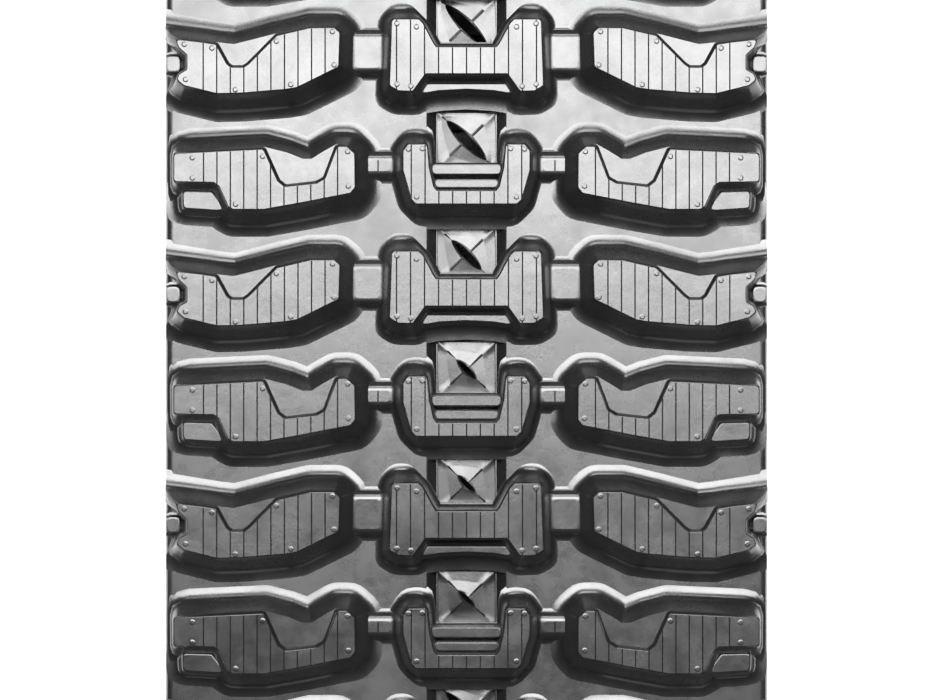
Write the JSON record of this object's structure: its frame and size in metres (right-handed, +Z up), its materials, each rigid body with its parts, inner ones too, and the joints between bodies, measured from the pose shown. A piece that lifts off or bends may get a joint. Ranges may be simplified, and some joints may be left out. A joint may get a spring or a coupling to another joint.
{
  "type": "rubber track",
  "caption": "Endless rubber track for a compact loader: staggered tread lugs, carcass, steel cores with guide horns and steel cords, flexing as one loop.",
  "frame": {"origin": "on the ground under the middle of the loop", "axes": "+X along the loop towards its front, +Y across the belt, +Z up"},
  "size_m": [1.9934, 0.45, 0.6228],
  "materials": {
    "belt_rubber": "moulded, semi-gloss",
    "tread_rubber": "moulded, semi-gloss",
    "forged_steel": "forged, dark scale, bright where it wears",
    "steel_cord": "brass-coated wire"
  },
  "bodies": {
    "bottom_run": {"inner_belt_bottom_run": "belt_rubber", "cores_bottom_run": "forged_steel", "cords_bottom_run": "steel_cord", "outer_belt_bottom_run": "belt_rubber", "lugs_bottom_run": "tread_rubber"},
    "front_bend_1": {"inner_belt_front_bend_1": "belt_rubber", "cores_front_bend_1": "forged_steel", "cords_front_bend_1": "steel_cord", "outer_belt_front_bend_1": "belt_rubber", "lugs_front_bend_1": "tread_rubber"},
    "front_bend_2": {"inner_belt_front_bend_2": "belt_rubber", "cores_front_bend_2": "forged_steel", "cords_front_bend_2": "steel_cord", "outer_belt_front_bend_2": "belt_rubber", "lugs_front_bend_2": "tread_rubber"},
    "front_bend_3": {"inner_belt_front_bend_3": "belt_rubber", "cores_front_bend_3": "forged_steel", "cords_front_bend_3": "steel_cord", "outer_belt_front_bend_3": "belt_rubber", "lugs_front_bend_3": "tread_rubber"},
    "front_bend_4": {"inner_belt_front_bend_4": "belt_rubber", "cores_front_bend_4": "forged_steel", "cords_front_bend_4": "steel_cord", "outer_belt_front_bend_4": "belt_rubber", "lugs_front_bend_4": "tread_rubber"},
    "top_front": {"inner_belt_top_front": "belt_rubber", "cores_top_front": "forged_steel", "cords_top_front": "steel_cord", "outer_belt_top_front": "belt_rubber", "lugs_top_front": "tread_rubber"},
    "top_rear": {"inner_belt_top_rear": "belt_rubber", "cores_top_rear": "forged_steel", "cords_top_rear": "steel_cord", "outer_belt_top_rear": "belt_rubber", "lugs_top_rear": "tread_rubber"},
    "rear_bend_4": {"inner_belt_rear_bend_4": "belt_rubber", "cores_rear_bend_4": "forged_steel", "cords_rear_bend_4": "steel_cord", "outer_belt_rear_bend_4": "belt_rubber", "lugs_rear_bend_4": "tread_rubber"},
    "rear_bend_3": {"inner_belt_rear_bend_3": "belt_rubber", "cores_rear_bend_3": "forged_steel", "cords_rear_bend_3": "steel_cord", "outer_belt_rear_bend_3": "belt_rubber", "lugs_rear_bend_3": "tread_rubber"},
    "rear_bend_2": {"inner_belt_rear_bend_2": "belt_rubber", "cores_rear_bend_2": "forged_steel", "cords_rear_bend_2": "steel_cord", "outer_belt_rear_bend_2": "belt_rubber", "lugs_rear_bend_2": "tread_rubber"},
    "rear_bend_1": {"inner_belt_rear_bend_1": "belt_rubber", "cores_rear_bend_1": "forged_steel", "cords_rear_bend_1": "steel_cord", "outer_belt_rear_bend_1": "belt_rubber", "lugs_rear_bend_1": "tread_rubber"}
  },
  "joints": [
    {"name": "front_lower_corner", "type": "hinge", "parent": "bottom_run", "child": "front_bend_1", "pos_m": [0.688, 0, 0.0365], "axis": [0, -1, 0], "range_deg": [-5, 5], "stiffness_Nm_per_rad": 8000, "springref_deg": 4.75},
    {"name": "front_lower_bend", "type": "hinge", "parent": "front_bend_1", "child": "front_bend_2", "pos_m": [0.84957, 0, 0.089], "axis": [0, -1, 0], "range_deg": [-5, 5]},
    {"name": "front_nose", "type": "hinge", "parent": "front_bend_2", "child": "front_bend_3", "pos_m": [0.96288, 0, 0.31138], "axis": [0, -1, 0], "range_deg": [-20, 20]},
    {"name": "front_upper_bend", "type": "hinge", "parent": "front_bend_3", "child": "front_bend_4", "pos_m": [0.84957, 0, 0.53375], "axis": [0, -1, 0], "range_deg": [-5, 5]},
    {"name": "front_upper_corner", "type": "hinge", "parent": "front_bend_4", "child": "top_front", "pos_m": [0.688, 0, 0.58625], "axis": [0, -1, 0], "range_deg": [-5, 5]},
    {"name": "rear_lower_corner", "type": "hinge", "parent": "bottom_run", "child": "rear_bend_1", "pos_m": [-0.688, 0, 0.0365], "axis": [0, 1, 0], "range_deg": [-5, 5]},
    {"name": "rear_lower_bend", "type": "hinge", "parent": "rear_bend_1", "child": "rear_bend_2", "pos_m": [-0.84957, 0, 0.089], "axis": [0, 1, 0], "range_deg": [-5, 5]},
    {"name": "rear_nose", "type": "hinge", "parent": "rear_bend_2", "child": "rear_bend_3", "pos_m": [-0.96288, 0, 0.31138], "axis": [0, 1, 0], "range_deg": [-20, 20]},
    {"name": "rear_upper_bend", "type": "hinge", "parent": "rear_bend_3", "child": "rear_bend_4", "pos_m": [-0.84957, 0, 0.53375], "axis": [0, 1, 0], "range_deg": [-5, 5]},
    {"name": "rear_upper_corner", "type": "hinge", "parent": "rear_bend_4", "child": "top_rear", "pos_m": [-0.688, 0, 0.58625], "axis": [0, 1, 0], "range_deg": [-5, 5]}
  ],
  "couplings": [
    {"joint": "front_lower_bend", "follows": "front_lower_corner", "ratio": 1},
    {"joint": "front_nose", "follows": "front_lower_corner", "ratio": -4},
    {"joint": "front_upper_bend", "follows": "front_lower_corner", "ratio": 1},
    {"joint": "front_upper_corner", "follows": "front_lower_corner", "ratio": 1},
    {"joint": "rear_lower_corner", "follows": "front_lower_corner", "ratio": 1},
    {"joint": "rear_lower_bend", "follows": "front_lower_corner", "ratio": 1},
    {"joint": "rear_nose", "follows": "front_lower_corner", "ratio": -4},
    {"joint": "rear_upper_bend", "follows": "front_lower_corner", "ratio": 1},
    {"joint": "rear_upper_corner", "follows": "front_lower_corner", "ratio": 1}
  ]
}
